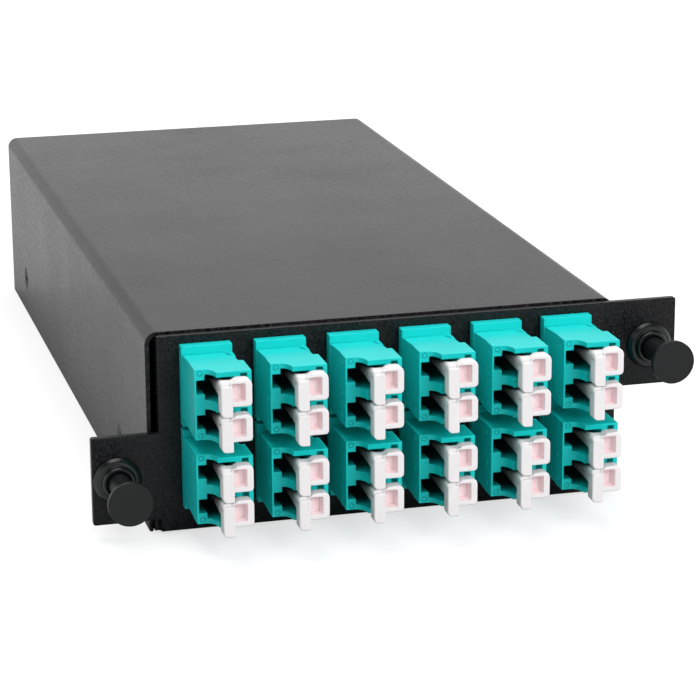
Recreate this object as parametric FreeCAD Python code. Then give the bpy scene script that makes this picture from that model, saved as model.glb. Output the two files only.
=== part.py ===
import FreeCAD, Part
import math
import os

Vector = FreeCAD.Vector

# A fibre cassette: a flat folded-steel box behind a Z-shaped front plate, with twelve duplex
# LC adapters in two rows, a dust cap in each of their ports, two push-pull plungers in the
# plate's ears, and two MPO adapters on the rear wall. Sizes are in millimetres.
# The drawing frame has x = 0 half way between the ear ends, y = 0 on the plate's front face
# with +y into the box, and z = 0 on the plane that the box stands on.

# Sides and chords of the small curved features that repeat, which is as round as their size needs
PIN_SIDES, SCREW_SIDES, ROUND_SIDES = 6, 8, 16
SCOOP_CHORDS = 4

# Box
SHEET = 0.8
BOX_LEFT, BOX_RIGHT = -44.2, 43.1
BOX_FRONT, BOX_REAR = 1.9, 178.3
BOX_HEIGHT = 37.1
COVER_BEND = 2.2
SEAT_GAP = 0.05
FLANGE_HEIGHT = 15.0
COVER_SCREW_Y = (31.0, 155.0)
COVER_SCREW_Z = 8.5

# Front plate
PLATE = 1.5
PLATE_BOTTOM, PLATE_TOP = 0.5, 36.7
PLATE_LEFT, PLATE_RIGHT = -42.4, 43.1
EAR_END = 54.6
EAR_HEIGHT = 16.2
LEFT_EAR_BOTTOM = 2.8
EAR_CORNER = 0.4

# LC duplex adapters, turned on their sides so that each one's ports stand one above the other
COLUMNS = 6
COLUMN_PITCH = 13.365
FIRST_COLUMN = -38.46
ROW_CENTRES = {"a": 27.82, "b": 12.52}
PORT_PITCH = 6.25
PORT_AXIS = 4.1
ADAPTER_WIDTH = 9.5
ADAPTER_HALF_HEIGHT = 6.35
LATCH_FACE = 13.2
CHEEK_FACE = 15.8
BLOCK_BACK = 9.4
ADAPTER_REAR = 11.5
FLANGE_HALF, FLANGE_RIGHT, FLANGE_THICK, WAIST_HALF = 7.35, 9.12, 2.15, 5.85
THROUGH_LEFT, THROUGH_RIGHT, THROUGH_HALF_HEIGHT = 0.15, 8.45, 6.2
SCOOP_LEFT, SCOOP_RIGHT = 1.5, 3.3
WEB_HALF = 3.4
SLEEVE_SEAT_R = 0.84
SLEEVE_R, SLEEVE_BORE_R = 0.81, 0.625
SLEEVE_HALF = 3.2
CUT_CLEARANCE = 0.1

# Dust caps, measured from the axis of the port that each one plugs. The caps in a duplex pair
# stand one port pitch apart, so a cap's shoulder stays just below the tail of the cap above it.
CAP_FACE, CAP_BACK = 20.6, 18.5
CAP_RIGHT, CAP_TOP, CAP_FRAME_BOTTOM = 4.45, 3.1, -1.7
BAR_HALF, BAR_TOP, TAIL_BOTTOM = 1.05, 2.05, -3.5
BAR_PROUD = 0.2
CAP_SLIDE_GAP = 0.1
CAP_PIN_R = 0.575
# Sections of the pin and neck: x, y, z of the middle, then half the width and height
CAP_NECK = [(0, -1.6, 0, CAP_PIN_R, CAP_PIN_R), (0, -8.0, 0, CAP_PIN_R, CAP_PIN_R),
            (-0.1, -18.6, 0.9, 1.0, 1.7)]

# Plungers and grommets: x, z of the axis, then how far in the plunger stands
PLUNGERS = {"left": (-50.1, 11.0, 0.0), "right": (49.45, 28.15, 1.0)}
HEAD_R, HEAD_FACE, HEAD_THICK = 4.05, 13.6, 1.0
NECK_R = 2.0
NECK_CLEARANCE = 0.08
GROMMET_R, GROMMET_THICK = 4.4, 2.45
EAR_HOLE_R, GROOVE_R = 3.1, 3.0
BARREL_R, BARREL_END = 3.2, 9.0
PLUNGER_TIP = 10.0

# Rear MPO adapters and their caps
MPO_X = (-20.0, 20.0)
MPO_Z = 18.0
MPO_BODY = (12.9, 9.5)
MPO_PORT = (10.6, 7.2)
MPO_OUT, MPO_IN = 12.0, 14.0
MPO_FLANGE = (23.0, 9.5, 2.0)
MPO_SCREW_SPREAD = 8.9

# Fibre inside the box
LC_BOOT_END, MPO_BOOT_END = 36.0, 142.0
FANOUT = {"x": 20.0, "z": 6.5, "front": 60.0, "back": 76.0, "half": (5.0, 4.5)}
LEG_SPREAD = 0.22
LEG_HALF = 0.4
COIL_CENTRE = (-0.5, 106.0)
COIL_R, COIL_WIDTH, COIL_HEIGHT = 30.0, 2.4, 2.8
COIL_SIDES = 12


def block(x0, x1, y0, y1, z0, z1):
    return Part.makeBox(x1 - x0, y1 - y0, z1 - z0, Vector(x0, y0, z0))


def fused(shapes):
    whole = shapes[0]
    if len(shapes) > 1:
        whole = shapes[0].multiFuse(shapes[1:])
    return whole.removeSplitter()


def chorded(corners, chords=2):
    """Outline of (u, v) points from (u, v, radius) corners, each rounding cut into straight chords."""
    points = []
    for i, (u, v, radius) in enumerate(corners):
        here = Vector(u, v, 0)
        if not radius:
            points.append((u, v))
            continue
        back = (Vector(*corners[i - 1][:2], 0) - here).normalize()
        ahead = (Vector(*corners[(i + 1) % len(corners)][:2], 0) - here).normalize()
        half = back.getAngle(ahead) / 2
        centre = here + (back + ahead).normalize() * (radius / math.sin(half))
        start = here + back * (radius / math.tan(half)) - centre
        turn = math.copysign(180 - math.degrees(2 * half), ahead.cross(back).z)
        for step in range(chords + 1):
            spoke = FreeCAD.Rotation(Vector(0, 0, 1), turn * step / chords).multVec(start)
            points.append((centre.x + spoke.x, centre.y + spoke.y))
    return points


def polygon(points):
    return Part.Face(Part.makePolygon(points + points[:1]))


def prism_along_x(outline, x0, x1):
    return polygon([Vector(x0, y, z) for y, z in outline]).extrude(Vector(x1 - x0, 0, 0))


def prism_along_y(outline, y0, y1):
    return polygon([Vector(x, y0, z) for x, z in outline]).extrude(Vector(0, y1 - y0, 0))


def prism_along_z(outline, z0, z1):
    return polygon([Vector(x, y, z0) for x, y in outline]).extrude(Vector(0, 0, z1 - z0))


def skin(rings):
    """Closed solid over rings of points that match one to one."""
    faces = [polygon(rings[0]), polygon(rings[-1])]
    for near, far in zip(rings, rings[1:]):
        for i in range(len(near)):
            a, b, c, d = near[i - 1], near[i], far[i], far[i - 1]
            faces += [polygon([a, b, c]), polygon([a, c, d])]
    shell = Part.makeShell(faces)
    shell.sewShape()
    return Part.makeSolid(shell).removeSplitter()


def ring(x, y, z, half_x, half_z, sides):
    """Many-sided oval about (x, z) that faces along y."""
    angles = [2 * math.pi * (i + 0.5) / sides for i in range(sides)]
    return [Vector(x + half_x * math.cos(a), y, z + half_z * math.sin(a)) for a in angles]


def turned(stations, x, z, sides):
    """Many-sided solid about the line through (x, z) along y, from (radius, y) stations."""
    return skin([ring(x, y, z, r, r, sides) for r, y in stations])


def rod(x, z, radius, y0, y1, sides):
    return turned([(radius, y0), (radius, y1)], x, z, sides)


def adapter_origins():
    for row, centre in ROW_CENTRES.items():
        for column in range(COLUMNS):
            yield f"{column + 1}{row}", FIRST_COLUMN + column * COLUMN_PITCH, centre


def port_axes():
    for name, left, centre in adapter_origins():
        for place, side in (("top", 1), ("bottom", -1)):
            yield f"{name}_{place}", left + PORT_AXIS, centre + side * PORT_PITCH / 2


# ---- sheet metal ----

def cover():
    """Top and both sides, folded from one sheet."""
    bend = COVER_BEND - SHEET
    outer = [(BOX_LEFT, 0, 0), (BOX_LEFT, BOX_HEIGHT, COVER_BEND),
             (BOX_RIGHT, BOX_HEIGHT, COVER_BEND), (BOX_RIGHT, 0, 0)]
    inner = [(BOX_RIGHT - SHEET, 0, 0), (BOX_RIGHT - SHEET, BOX_HEIGHT - SHEET, bend),
             (BOX_LEFT + SHEET, BOX_HEIGHT - SHEET, bend), (BOX_LEFT + SHEET, 0, 0)]
    sheet = prism_along_y(chorded(outer + inner, 5), BOX_FRONT, BOX_REAR)
    return sheet.cut(Part.makeCompound([cover_screw(*place, SEAT_GAP) for place in screw_places()]))


def screw_places():
    for wall, inward in ((BOX_LEFT, 1), (BOX_RIGHT, -1)):
        for y in COVER_SCREW_Y:
            yield wall, inward, y


def cover_screw(wall, inward, y, grow=0.0):
    """Flat-head screw with its head flush in a side wall, grown for the hole it sits in."""
    head, shank = 2.7 + grow, 1.5 + grow
    screw = turned([(head, 0), (shank, SHEET + 0.4), (shank, 5)], 0, 0, SCREW_SIDES)
    screw.rotate(Vector(0, 0, 0), Vector(0, 0, 1), -90 * inward)
    screw.translate(Vector(wall, y, COVER_SCREW_Z))
    return screw


def cover_screws():
    """Each with a cross recess."""
    screws = []
    for wall, inward, y in screw_places():
        recess = [block(wall - 0.7, wall + 0.7, y - wide, y + wide,
                        COVER_SCREW_Z - tall, COVER_SCREW_Z + tall)
                  for wide, tall in ((1.4, 0.35), (0.35, 1.4))]
        screws.append(cover_screw(wall, inward, y).cut(fused(recess)))
    return Part.makeCompound(screws)


def base_tray():
    """Floor, low side flanges, front wall and rear wall, folded from one sheet."""
    left, right = BOX_LEFT + SHEET + SEAT_GAP, BOX_RIGHT - SHEET - SEAT_GAP
    wall_top = BOX_HEIGHT - SHEET - SEAT_GAP
    bend = 1.2
    outer = [(left, FLANGE_HEIGHT, 0), (left, 0, bend), (right, 0, bend), (right, FLANGE_HEIGHT, 0)]
    inner = [(right - SHEET, FLANGE_HEIGHT, 0), (right - SHEET, SHEET, bend - SHEET),
             (left + SHEET, SHEET, bend - SHEET), (left + SHEET, FLANGE_HEIGHT, 0)]
    channel = prism_along_y(chorded(outer + inner), PLATE + bend, BOX_REAR - bend)
    ends = [(PLATE, wall_top, 0), (PLATE, 0, bend), (BOX_REAR, 0, bend), (BOX_REAR, wall_top, 0),
            (BOX_REAR - SHEET, wall_top, 0), (BOX_REAR - SHEET, SHEET, bend - SHEET),
            (PLATE + SHEET, SHEET, bend - SHEET), (PLATE + SHEET, wall_top, 0)]
    wall_right = right - COVER_BEND
    walls = prism_along_x(chorded(ends), PLATE_LEFT, wall_right)
    rear_corners = [block(x0, x1, BOX_REAR - SHEET, BOX_REAR, bend, wall_top - COVER_BEND)
                    for x0, x1 in ((left, PLATE_LEFT), (wall_right, right))]
    corner_tab = block(left, PLATE_LEFT, PLATE, PLATE + bend, 0.3, LEFT_EAR_BOTTOM - 0.5)
    tray = fused([channel, walls, corner_tab] + rear_corners)

    last_left = FIRST_COLUMN + (COLUMNS - 1) * COLUMN_PITCH
    cuts = [block(FIRST_COLUMN - 0.8, last_left + ADAPTER_WIDTH, 0, 5,
                  ROW_CENTRES["b"] - 7.4, ROW_CENTRES["a"] + 7.4)]
    cuts += [cover_screw(*place, SEAT_GAP) for place in screw_places()]
    half_w, half_h = MPO_BODY[0] / 2 + CUT_CLEARANCE, MPO_BODY[1] / 2 + CUT_CLEARANCE
    for x in MPO_X:
        cuts.append(block(x - half_w, x + half_w, BOX_REAR - 2, BOX_REAR + 2,
                          MPO_Z - half_h, MPO_Z + half_h))
        for side in (-1, 1):
            screw_x = x + side * MPO_SCREW_SPREAD
            cuts.append(rod(screw_x, MPO_Z, 1.05, BOX_REAR - 2, BOX_REAR + 2, SCREW_SIDES))
    return tray.cut(Part.makeCompound(cuts))


def front_plate():
    """Z-shaped plate: the left ear stands low and the right ear is level with the top edge."""
    left_ear_top = LEFT_EAR_BOTTOM + EAR_HEIGHT
    right_ear_bottom = PLATE_TOP - EAR_HEIGHT
    outline = [
        (PLATE_LEFT, PLATE_BOTTOM, 0), (PLATE_RIGHT, PLATE_BOTTOM, 0),
        (PLATE_RIGHT, right_ear_bottom, 0), (EAR_END, right_ear_bottom, EAR_CORNER),
        (EAR_END, PLATE_TOP, EAR_CORNER), (PLATE_LEFT, PLATE_TOP, 0),
        (PLATE_LEFT, left_ear_top, 0), (-EAR_END, left_ear_top, EAR_CORNER),
        (-EAR_END, LEFT_EAR_BOTTOM, EAR_CORNER), (PLATE_LEFT, LEFT_EAR_BOTTOM, 0)]
    plate = prism_along_y(chorded(outline), 0, PLATE)
    cuts = []
    half = THROUGH_HALF_HEIGHT + CUT_CLEARANCE
    for _, left, centre in adapter_origins():
        cuts.append(block(left + THROUGH_LEFT - CUT_CLEARANCE, left + THROUGH_RIGHT + CUT_CLEARANCE,
                          -1, 3, centre - half, centre + half))
    for x, z, _ in PLUNGERS.values():
        cuts.append(rod(x, z, EAR_HOLE_R, -1, 3, ROUND_SIDES))
    return plate.cut(Part.makeCompound(cuts))


# ---- adapters ----

def adapter():
    """Duplex LC adapter housing, from its left face at x = 0 and its centre at z = 0."""
    slope = [(0, WAIST_HALF), (-FLANGE_THICK, WAIST_HALF), (-BLOCK_BACK, ADAPTER_HALF_HEIGHT)]
    waist = prism_along_x(slope + [(y, -z) for y, z in reversed(slope)], 0, 8.6)
    flange = block(0, FLANGE_RIGHT, -FLANGE_THICK, 0, -FLANGE_HALF, FLANGE_HALF)
    snap = [(8.5, -2), (FLANGE_RIGHT, -2), (FLANGE_RIGHT, -4.6), (8.6, -8.3), (8.5, -8.3)]
    side_snap = prism_along_z(snap, -WAIST_HALF, WAIST_HALF)
    wide, deep = SCOOP_RIGHT - SCOOP_LEFT, CHEEK_FACE - LATCH_FACE
    turns = [math.pi / 2 * step / SCOOP_CHORDS for step in range(SCOOP_CHORDS + 1)]
    scoop = [(SCOOP_LEFT + wide * math.sin(a), deep * math.cos(a) - CHEEK_FACE) for a in turns]
    plan = [(0, -BLOCK_BACK), (0, -LATCH_FACE)] + scoop
    plan += [(ADAPTER_WIDTH, -CHEEK_FACE), (ADAPTER_WIDTH, -BLOCK_BACK)]
    front = prism_along_z(plan, -ADAPTER_HALF_HEIGHT, ADAPTER_HALF_HEIGHT)
    half = THROUGH_HALF_HEIGHT
    catch = [(0, half), (PLATE + 0.1, half), (PLATE + 0.1, half + 0.5), (5.0, half), (ADAPTER_REAR, half)]
    through = prism_along_x(catch + [(y, -z) for y, z in reversed(catch)], THROUGH_LEFT, THROUGH_RIGHT)
    body = fused([waist, flange, side_snap, front, through])

    cuts = []
    for side in (-1, 1):
        axis = side * PORT_PITCH / 2
        for mouth, end in ((-CHEEK_FACE - 1, -WEB_HALF), (WEB_HALF, ADAPTER_REAR + 1)):
            cuts.append(block(1.8, 6.4, mouth, end, axis - 2.28, axis + 2.28))
        cuts.append(block(0.35, 1.8, -CHEEK_FACE - 1, -WEB_HALF, axis - 1.25, axis + 1.25))
        cuts.append(rod(PORT_AXIS, axis, SLEEVE_SEAT_R, -WEB_HALF - 1, WEB_HALF + 1, PIN_SIDES))
        cuts.append(block(7.5, 8.7, -CHEEK_FACE - 1, 3 - CHEEK_FACE, axis - 2.8, axis + 2.8))
    return body.cut(Part.makeCompound(cuts))


def sleeve(x, z):
    """Ceramic sleeve that lines up the two ferrules."""
    tube = rod(x, z, SLEEVE_R, -SLEEVE_HALF, SLEEVE_HALF, PIN_SIDES)
    return tube.cut(rod(x, z, SLEEVE_BORE_R, -SLEEVE_HALF - 1, SLEEVE_HALF + 1, PIN_SIDES))


def box_ring(x, y, z, half_x, half_z):
    return [Vector(x + i * half_x, y, z + k * half_z) for i, k in ((-1, -1), (1, -1), (1, 1), (-1, 1))]


def lc_connector(x, z):
    """Connector plugged into the back of an adapter: ferrule, body and boot."""
    ferrule = rod(x, z, SLEEVE_BORE_R - 0.02, 0.4, 4.1, PIN_SIDES)
    body = block(x - 2.2, x + 2.2, 4.0, 21.0, z - 2.2, z + 2.2)
    boot = skin([box_ring(x, 21.0, z, 2.2, 2.2), box_ring(x, LC_BOOT_END, z, 0.8, 0.8)])
    return fused([ferrule, body, boot])


# ---- dust caps ----

def dust_cap():
    """One-piece cap about its port's axis: pin, tapered neck and flag-shaped grip."""
    frame_left = BAR_HALF + CAP_SLIDE_GAP
    shoulder = PORT_PITCH + TAIL_BOTTOM - CAP_SLIDE_GAP
    front = -CAP_FACE
    flag = [(-BAR_HALF, CAP_FRAME_BOTTOM, 0), (CAP_RIGHT, CAP_FRAME_BOTTOM, 0.7),
            (CAP_RIGHT, CAP_TOP, 1.1), (frame_left, CAP_TOP, 0), (frame_left, shoulder, 0),
            (-BAR_HALF, shoulder, 0)]
    grip = prism_along_y(chorded(flag), front, -CAP_BACK)
    mouth, floor = ([Vector(x, front + y, z) for x, z in ((BAR_HALF, low), (right, low), (right, 2.4),
                                                          (BAR_HALF, 2.4))]
                    for y, right, low in ((-0.4, 3.34, -0.85), (1.6, 2.9, -0.6)))
    recess = skin([mouth, floor])
    set_back = block(-BAR_HALF - 1, BAR_HALF - 0.01, front - 1, front + 0.6, BAR_TOP - 0.6, 5)
    bar = [(-BAR_HALF, TAIL_BOTTOM, 0.9), (BAR_HALF, TAIL_BOTTOM, 0), (BAR_HALF, BAR_TOP, 0),
           (-BAR_HALF, BAR_TOP, 0.7)]
    stem = prism_along_y(chorded(bar, 1), front - BAR_PROUD, -CAP_BACK)
    neck = skin([ring(x, y, z, half_x, half_z, PIN_SIDES) for x, y, z, half_x, half_z in CAP_NECK])
    return fused([grip.cut(recess.fuse(set_back)), stem, neck])


# ---- plungers ----

def grommet(x, z):
    """Nylon grommet: domed ring outside, groove in the ear, round barrel with four sprung legs."""
    outside = turned([(2.8, -GROMMET_THICK), (3.8, -1.2), (GROMMET_R, -0.5), (GROMMET_R, 0),
                      (GROOVE_R, 0), (GROOVE_R, PLATE + 0.1)], x, z, ROUND_SIDES)
    barrel = Part.makeCylinder(BARREL_R, BARREL_END - PLATE, Vector(x, PLATE, z), Vector(0, 1, 0))
    bore = rod(x, z, NECK_R + NECK_CLEARANCE, -GROMMET_THICK - 1, BARREL_END + 1, ROUND_SIDES)
    across = block(x - 5, x + 5, 5.6, 10, z - 0.4, z + 0.4)
    upright = block(x - 0.4, x + 0.4, 5.6, 10, z - 5, z + 5)
    return fused([outside, barrel]).cut(Part.makeCompound([bore, across, upright]))


def plunger(x, z, inward):
    """Push-pull plunger: thin flat head, neck and pointed tip."""
    edge = 0.2
    stations = [(HEAD_R - edge, -HEAD_FACE), (HEAD_R, edge - HEAD_FACE), (HEAD_R, HEAD_THICK - HEAD_FACE),
                (2.6, HEAD_THICK - HEAD_FACE), (NECK_R, HEAD_THICK + 0.8 - HEAD_FACE),
                (NECK_R, PLUNGER_TIP - 1.4), (0.9, PLUNGER_TIP)]
    return turned([(r, y + inward) for r, y in stations], x, z, ROUND_SIDES)


# ---- rear ----

def centred(x, width, height, y0, y1):
    return block(x - width / 2, x + width / 2, y0, y1, MPO_Z - height / 2, MPO_Z + height / 2)


def rounded_plate(x, width, height, radius, y0, y1):
    w, h = width / 2, height / 2
    corners = [(x + i * w, MPO_Z + k * h, radius) for i, k in ((-1, -1), (1, -1), (1, 1), (-1, 1))]
    return prism_along_y(chorded(corners), y0, y1)


def mpo_adapter(x):
    """Multi-fibre adapter through the rear wall: two square ports, a window and a screw flange."""
    rear = BOX_REAR
    body = centred(x, *MPO_BODY, rear - MPO_IN, rear + MPO_OUT)
    flange = rounded_plate(x, MPO_FLANGE[0], MPO_FLANGE[1], 1.5, rear, rear + MPO_FLANGE[2])
    key_top = MPO_Z + MPO_PORT[1] / 2
    cuts = [centred(x, *MPO_PORT, rear + 1.5, rear + 20), centred(x, *MPO_PORT, rear - 20, rear - 1.5),
            centred(x, 6.6, 2.8, rear - 5, rear + 5),
            block(x - 1.5, x + 1.5, rear + 3, rear + 20, key_top - 0.1, key_top + 0.6)]
    for side in (-1, 1):
        cuts.append(rod(x + side * MPO_SCREW_SPREAD, MPO_Z, 1.05, rear - 1, rear + 4, SCREW_SIDES))
    return fused([body, flange]).cut(Part.makeCompound(cuts))


def mpo_cap(x):
    """Plug with a ribbed grip that closes an MPO port."""
    face = BOX_REAR + MPO_OUT + 0.05
    width, height = MPO_PORT[0] - 0.3, MPO_PORT[1] - 0.3
    pieces = [centred(x, width, height, BOX_REAR + 4, face),
              rounded_plate(x, 12.4, 9.0, 1.0, face, face + 1.5),
              centred(x, 9.2, 5.2, face + 1.5, face + 7)]
    pieces += [centred(x, 10.4, 6.0, face + y, face + y + 0.8) for y in (2.7, 4.4, 6.2)]
    return fused(pieces)


def mpo_screws():
    outside = BOX_REAR + MPO_FLANGE[2]
    stations = [(1.0, outside - 4.5), (1.0, outside), (1.9, outside), (1.9, outside + 0.7),
                (1.3, outside + 1.3)]
    screws = []
    for x in MPO_X:
        for centre in (x - MPO_SCREW_SPREAD, x + MPO_SCREW_SPREAD):
            slot = block(centre - 1.2, centre + 1.2, outside + 0.8, outside + 2, MPO_Z - 0.25, MPO_Z + 0.25)
            screws.append(turned(stations, centre, MPO_Z, SCREW_SIDES).cut(slot))
    return Part.makeCompound(screws)


# ---- inside ----

def inner_mpo(x):
    """Multi-fibre connector in the inner port of an MPO adapter."""
    mouth = BOX_REAR - 1.5
    ferrule = centred(x, 6.4, 2.5, mouth - 8, mouth + 0.7)
    body = centred(x, MPO_PORT[0] - 0.4, MPO_PORT[1] - 0.4, mouth - 25, mouth)
    boot = skin([box_ring(x, mouth - 25, MPO_Z, 2.2, 1.7), box_ring(x, MPO_BOOT_END, MPO_Z, 1.7, 1.5)])
    return fused([ferrule, body, boot])


def coil_base(index):
    return SHEET + 1.2 + index * (COIL_HEIGHT + 0.2)


def ribbon(index, side):
    """Flat cable from an MPO boot down to its coil on the floor, once round, and to its fan-out."""
    cx, cy = COIL_CENTRE
    base = coil_base(index)
    middle, half = base + COIL_HEIGHT / 2, COIL_WIDTH / 2
    turn = [2 * math.pi * i / COIL_SIDES for i in range(COIL_SIDES)]
    rounds = [[(cx + r * math.cos(a), cy + r * math.sin(a)) for a in turn]
              for r in (COIL_R - half, COIL_R + half)]
    hole, disc = (prism_along_z(outline, base, base + COIL_HEIGHT) for outline in rounds)
    edge, away = cx + side * COIL_R, side * FANOUT["x"]
    down = skin([box_ring(away, MPO_BOOT_END - 0.1, MPO_Z, half, 0.4),
                 box_ring(away + side * 3, cy + 24, (MPO_Z + middle) / 2, half, 0.4),
                 box_ring(edge, cy + 4, middle, half, 0.8), box_ring(edge, cy, middle, half, 0.8)])
    out = skin([box_ring(away, FANOUT["back"] + 0.1, middle, half, 0.8),
                box_ring(edge - side * 3, cy - 12, middle, half, 0.8),
                box_ring(edge, cy, middle, half, 0.8)])
    return fused([disc.cut(hole), down, out])


def fanout_block(side):
    """Block on the floor where a flat cable becomes twelve single fibres."""
    w, h = FANOUT["half"]
    x, z = side * FANOUT["x"], FANOUT["z"]
    return block(x - w, x + w, FANOUT["front"], FANOUT["back"], SHEET, z + h)


def fibre_leg(x, z):
    """Single 0.9 mm fibre from an LC boot to its hole in the fan-out block on its side."""
    side = -1 if x < COIL_CENTRE[0] else 1
    group_middle = FIRST_COLUMN + PORT_AXIS + COLUMN_PITCH * (1 if side < 0 else 4)
    row_middle = sum(ROW_CENTRES.values()) / 2
    end_x = side * FANOUT["x"] + (x - group_middle) * LEG_SPREAD
    end_z = FANOUT["z"] + (z - row_middle) * LEG_SPREAD
    places = ((x, LC_BOOT_END, z), (x, LC_BOOT_END + 6, z), (end_x, FANOUT["front"], end_z))
    return skin([ring(*place, LEG_HALF, LEG_HALF, 3) for place in places])


def fibre_guide(angle):
    """Clip on the floor that holds the coils, with its mouth towards their centre."""
    inner, outer = COIL_R - COIL_WIDTH, COIL_R + COIL_WIDTH
    top = coil_base(2) + 0.6
    profile = [(inner, SHEET), (outer + 1, SHEET), (outer + 1, top + 1), (inner, top + 1),
               (inner, top - 0.8), (inner + 0.8, top), (outer, top), (outer, SHEET + 1),
               (inner, SHEET + 1)]
    cx, cy = COIL_CENTRE
    clip = prism_along_y([(cx + reach, z) for reach, z in profile], cy - 3, cy + 3)
    clip.rotate(Vector(cx, cy, 0), Vector(0, 0, 1), angle)
    return clip


# ---- the whole cassette ----

def moved(shape, x, z):
    placed = shape.copy()
    placed.translate(Vector(x, 0, z))
    return placed


def all_nodes():
    nodes = {"front_plate": front_plate(), "cover": cover(), "base_tray": base_tray(),
             "cover_screws": cover_screws(), "mpo_adapter_screws": mpo_screws()}
    housing, cap = adapter(), dust_cap()
    for name, left, centre in adapter_origins():
        nodes[f"adapter_{name}"] = moved(housing, left, centre)
    ports = list(port_axes())
    for name, x, z in ports:
        nodes[f"dust_cap_{name}"] = moved(cap, x, z)
    for side, (x, z, inward) in PLUNGERS.items():
        nodes[f"grommet_{side}"] = grommet(x, z)
        nodes[f"plunger_{side}"] = plunger(x, z, inward)
    for side, x in zip(("left", "right"), MPO_X):
        nodes[f"mpo_adapter_{side}"] = mpo_adapter(x)
        nodes[f"mpo_cap_{side}"] = mpo_cap(x)
    groups = {
        "alignment_sleeves": [sleeve(x, z) for _, x, z in ports],
        "inner_lc_connectors": [lc_connector(x, z) for _, x, z in ports],
        "inner_mpo_connectors": [inner_mpo(x) for x in MPO_X],
        "fibre_ribbons": [ribbon(index, side) for index, side in enumerate((-1, 1))],
        "fibre_legs": [fibre_leg(x, z) for _, x, z in ports],
        "fanout_blocks": [fanout_block(side) for side in (-1, 1)],
        "fibre_guides": [fibre_guide(angle) for angle in (70, 110, 250, 290)]}
    for name, solids in groups.items():
        nodes[name] = Part.makeCompound(solids)
    return nodes


def main():
    os.makedirs("parts", exist_ok=True)
    nodes = all_nodes()
    whole = Part.makeCompound(list(nodes.values())).BoundBox
    to_origin = Vector(0, -(whole.YMin + whole.YMax) / 2, 0)
    for name, shape in nodes.items():
        shape.translate(to_origin)
        shape.exportStep(f"parts/{name}.step")


main()
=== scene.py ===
import math

import bmesh
import bpy
from mathutils import Matrix, Vector


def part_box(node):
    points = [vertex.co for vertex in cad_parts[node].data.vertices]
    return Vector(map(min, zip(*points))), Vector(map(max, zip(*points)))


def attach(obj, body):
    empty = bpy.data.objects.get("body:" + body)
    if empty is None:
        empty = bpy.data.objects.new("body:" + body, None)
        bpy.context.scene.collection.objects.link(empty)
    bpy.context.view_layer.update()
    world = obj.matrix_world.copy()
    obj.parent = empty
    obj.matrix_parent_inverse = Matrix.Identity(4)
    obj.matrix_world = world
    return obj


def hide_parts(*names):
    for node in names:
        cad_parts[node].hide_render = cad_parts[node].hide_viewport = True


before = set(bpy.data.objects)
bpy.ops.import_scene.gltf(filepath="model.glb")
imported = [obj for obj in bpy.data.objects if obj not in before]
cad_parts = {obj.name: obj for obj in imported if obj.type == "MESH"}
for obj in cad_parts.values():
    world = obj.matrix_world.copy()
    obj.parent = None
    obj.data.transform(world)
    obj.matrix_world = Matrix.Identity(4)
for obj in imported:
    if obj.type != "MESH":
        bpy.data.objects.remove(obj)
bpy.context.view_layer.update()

bl_info = {
    "name": "Fibre Cassette",
    "version": (1, 0, 0),
    "blender": (4, 5, 0),
    "location": "3D View > Sidebar > Fibre Cassette",
    "description": "Dresses the frame of a fibre cassette in powder coat, moulded plastic and nylon",
    "category": "Object",
}

ROOT = "cassette"
MM = 0.001

# Folded steel: the sheet's thickness and a bend's outer radius
SHEET, BEND = 0.8 * MM, 2.2 * MM
# Front plate: its left edge from the cover's side, and the ears' height, corner, hole and, on the left, rise
PLATE_INSET = 1.8 * MM
EAR_HEIGHT, EAR_CORNER, EAR_HOLE_R, EAR_RISE = 16.2 * MM, 0.4 * MM, 3.1 * MM, 2.3 * MM
# Window in the plate: its left and right from a housing's left face, and its half height
WINDOW = (0.05 * MM, 8.55 * MM, 6.3 * MM)
# Plunger's head and neck, and the sprung legs of its grommet
HEAD_THICK, PLUNGER_NECK_R, LEG = 1.0 * MM, 2.0 * MM, 3.4 * MM
# Radius and depth along a screw and the hole that it sits in, in millimetres below the cover's side
SCREW = [(2.3, 0.03), (2.55, 0.04), (2.62, 0.12), (1.5, 1.24), (1.5, 4.6), (1.1, 5.0)]
COUNTERSINK = [(2.76, -0.1), (2.65, 0.1), (1.55, 1.2), (1.55, 2)]

ADAPTERS = sorted(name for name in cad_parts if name.startswith("adapter_"))
CAPS = sorted(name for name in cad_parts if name.startswith("dust_cap_"))
SIDES = ("left", "right")


def low(node):
    return Vector(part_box(node)[0])


def high(node):
    return Vector(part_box(node)[1])


PLATE_FACE = low("front_plate").y
FIRST_ADAPTER = low("adapter_1b")
COLUMN_PITCH = low("adapter_2b").x - FIRST_ADAPTER.x
ROW_PITCH = low("adapter_1a").z - FIRST_ADAPTER.z
ADAPTER_HALF = (high("adapter_1b").z - low("adapter_1b").z) / 2


# ---- values a user would change ----

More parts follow.
